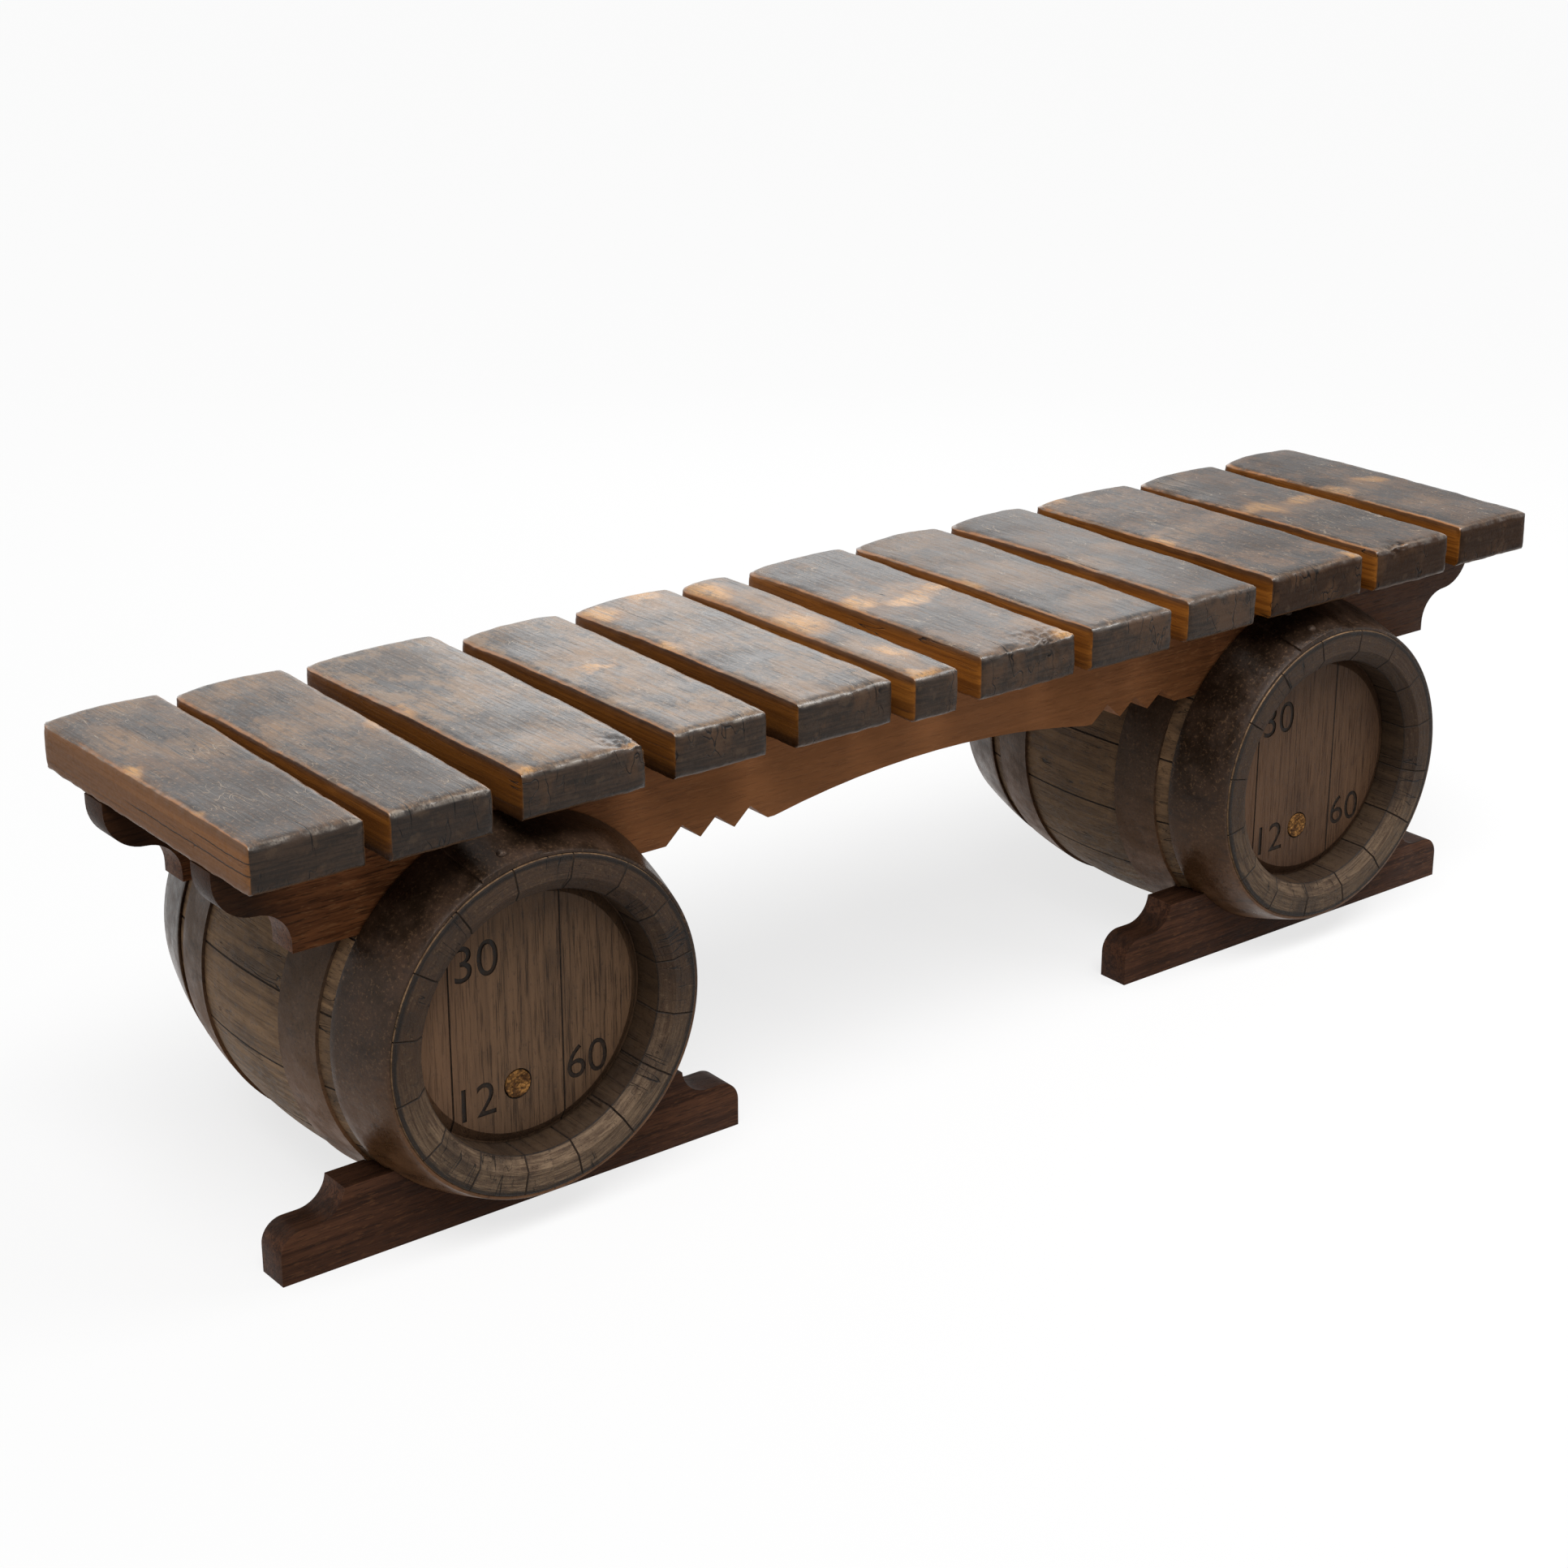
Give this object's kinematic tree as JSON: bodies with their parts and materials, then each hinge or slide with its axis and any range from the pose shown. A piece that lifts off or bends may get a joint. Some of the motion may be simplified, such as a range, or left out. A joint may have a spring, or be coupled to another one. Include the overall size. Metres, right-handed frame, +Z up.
{
  "type": "barrel bench",
  "caption": "Rustic backless bench: slatted oak seat on scalloped rails, saddled over small hooped barrels that lie on their sides on shaped foot boards.",
  "frame": {"origin": "on the floor, at the centre of the bench's footprint", "axes": "+X along the bench to the sitter's left as seen from the front, +Y from the front to the back, +Z up"},
  "size_m": [1.621, 0.435, 0.448],
  "materials": {
    "slat_oak": "weathered, worn shiny on the edges",
    "rail_oak": "stained satin",
    "stave_oak": "weathered, waxed",
    "head_oak": "stained satin",
    "cork": "dry matte",
    "hoop_iron": "dark, lightly rusted",
    "rivet_iron": "dark, lightly rusted",
    "foot_oak": "stained satin",
    "screw_steel": "plain"
  },
  "bodies": {
    "root": {"slat_01": "slat_oak", "slat_02": "slat_oak", "slat_03": "slat_oak", "slat_04": "slat_oak", "slat_05": "slat_oak", "slat_06": "slat_oak", "slat_07": "slat_oak", "slat_08": "slat_oak", "slat_09": "slat_oak", "slat_10": "slat_oak", "slat_11": "slat_oak", "slat_12": "slat_oak", "front_rail": "rail_oak", "rear_rail": "rail_oak", "left_staves": "stave_oak", "left_front_head": "head_oak", "left_rear_head": "head_oak", "left_bung": "cork", "left_front_head_hoop": "hoop_iron", "left_front_bilge_hoop": "hoop_iron", "left_rear_bilge_hoop": "hoop_iron", "left_rear_head_hoop": "hoop_iron", "left_rivets": "rivet_iron", "left_front_foot": "foot_oak", "left_rear_chock": "foot_oak", "right_staves": "stave_oak", "right_front_head": "head_oak", "right_rear_head": "head_oak", "right_bung": "cork", "right_front_head_hoop": "hoop_iron", "right_front_bilge_hoop": "hoop_iron", "right_rear_bilge_hoop": "hoop_iron", "right_rear_head_hoop": "hoop_iron", "right_rivets": "rivet_iron", "right_front_foot": "foot_oak", "right_rear_chock": "foot_oak", "seat_screws": "screw_steel", "foot_screws": "screw_steel"}
  },
  "joints": []
}
